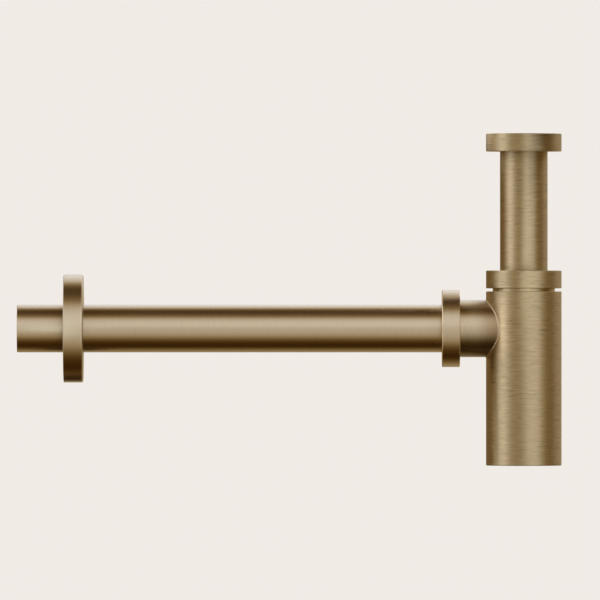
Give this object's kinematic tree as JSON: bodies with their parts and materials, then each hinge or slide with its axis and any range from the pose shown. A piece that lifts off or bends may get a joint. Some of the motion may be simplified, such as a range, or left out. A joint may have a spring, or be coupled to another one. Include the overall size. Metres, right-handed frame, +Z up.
{
  "type": "bottle trap",
  "caption": "Round bottle trap for a wash basin: union nut and inlet tube on a straight cylindrical body, with a side outlet, a long wall pipe and a deep sliding wall flange.",
  "frame": {"origin": "centre of the inlet seat: the top of the gasket inside the union nut, on the inlet's axis", "axes": "+Z up along the inlet's axis, -X along the wall pipe towards the wall, +Y away from the viewer"},
  "size_m": [0.3659, 0.0724, 0.223],
  "materials": {
    "brushed_brass": "brass with a brushed bronze-coloured finish, fine hairlines round the turned pieces",
    "black_rubber": "matt moulded rubber",
    "white_nylon": "natural nylon, matt"
  },
  "bodies": {
    "inlet_nut": {"inlet_nut": "brushed_brass"},
    "inlet_tube": {"inlet_tube": "brushed_brass", "inlet_gasket": "black_rubber"},
    "trap_body": {"trap_body": "brushed_brass", "neck_seal": "black_rubber", "outlet_seal": "black_rubber"},
    "neck_slip_ring": {"neck_slip_ring": "white_nylon"},
    "neck_nut": {"neck_nut": "brushed_brass"},
    "outlet_slip_ring": {"outlet_slip_ring": "white_nylon"},
    "outlet_nut": {"outlet_nut": "brushed_brass"},
    "base_plug_ring": {"base_plug_ring": "black_rubber"},
    "base_plug": {"base_plug": "brushed_brass"},
    "outlet_pipe": {"outlet_pipe": "brushed_brass"},
    "wall_flange": {"wall_flange": "brushed_brass", "flange_ring": "black_rubber"}
  },
  "joints": [
    {"name": "inlet_swivel", "type": "hinge", "parent": "inlet_nut", "child": "inlet_tube", "pos_m": [0, 0, 0], "axis": [0, 0, 1], "continuous": true},
    {"name": "height_adjust", "type": "slide", "parent": "inlet_tube", "child": "trap_body", "axis": [0, 0, 1], "range_m": [-0.038, 0.007]},
    {"name": "neck_nut_travel", "type": "slide", "parent": "trap_body", "child": "neck_slip_ring", "axis": [0, 0, 1], "range_m": [0, 0.00577]},
    {"name": "neck_nut_turn", "type": "hinge", "parent": "neck_slip_ring", "child": "neck_nut", "pos_m": [0, 0, -0.092], "axis": [0, 0, 1], "range_deg": [0, 900]},
    {"name": "outlet_nut_travel", "type": "slide", "parent": "trap_body", "child": "outlet_slip_ring", "axis": [-1, 0, 0], "range_m": [0, 0.00599]},
    {"name": "outlet_nut_turn", "type": "hinge", "parent": "outlet_slip_ring", "child": "outlet_nut", "pos_m": [-0.049, 0, -0.125], "axis": [-1, 0, 0], "range_deg": [0, 1440]},
    {"name": "base_plug_travel", "type": "slide", "parent": "trap_body", "child": "base_plug_ring", "axis": [0, 0, -1], "range_m": [0, 0.00599]},
    {"name": "base_plug_turn", "type": "hinge", "parent": "base_plug_ring", "child": "base_plug", "pos_m": [0, 0, -0.2105], "axis": [0, 0, -1], "range_deg": [0, 1440]},
    {"name": "pipe_slide", "type": "slide", "parent": "trap_body", "child": "outlet_pipe", "axis": [1, 0, 0], "range_m": [-0.0045, 0.013]},
    {"name": "flange_slide", "type": "slide", "parent": "outlet_pipe", "child": "wall_flange", "axis": [1, 0, 0], "range_m": [-0.0265, 0.218]}
  ],
  "couplings": [
    {"joint": "neck_nut_turn", "follows": "neck_nut_travel", "rad_per_m": 2721.2},
    {"joint": "outlet_nut_turn", "follows": "outlet_nut_travel", "rad_per_m": 4188.8},
    {"joint": "base_plug_turn", "follows": "base_plug_travel", "rad_per_m": 4188.8}
  ]
}
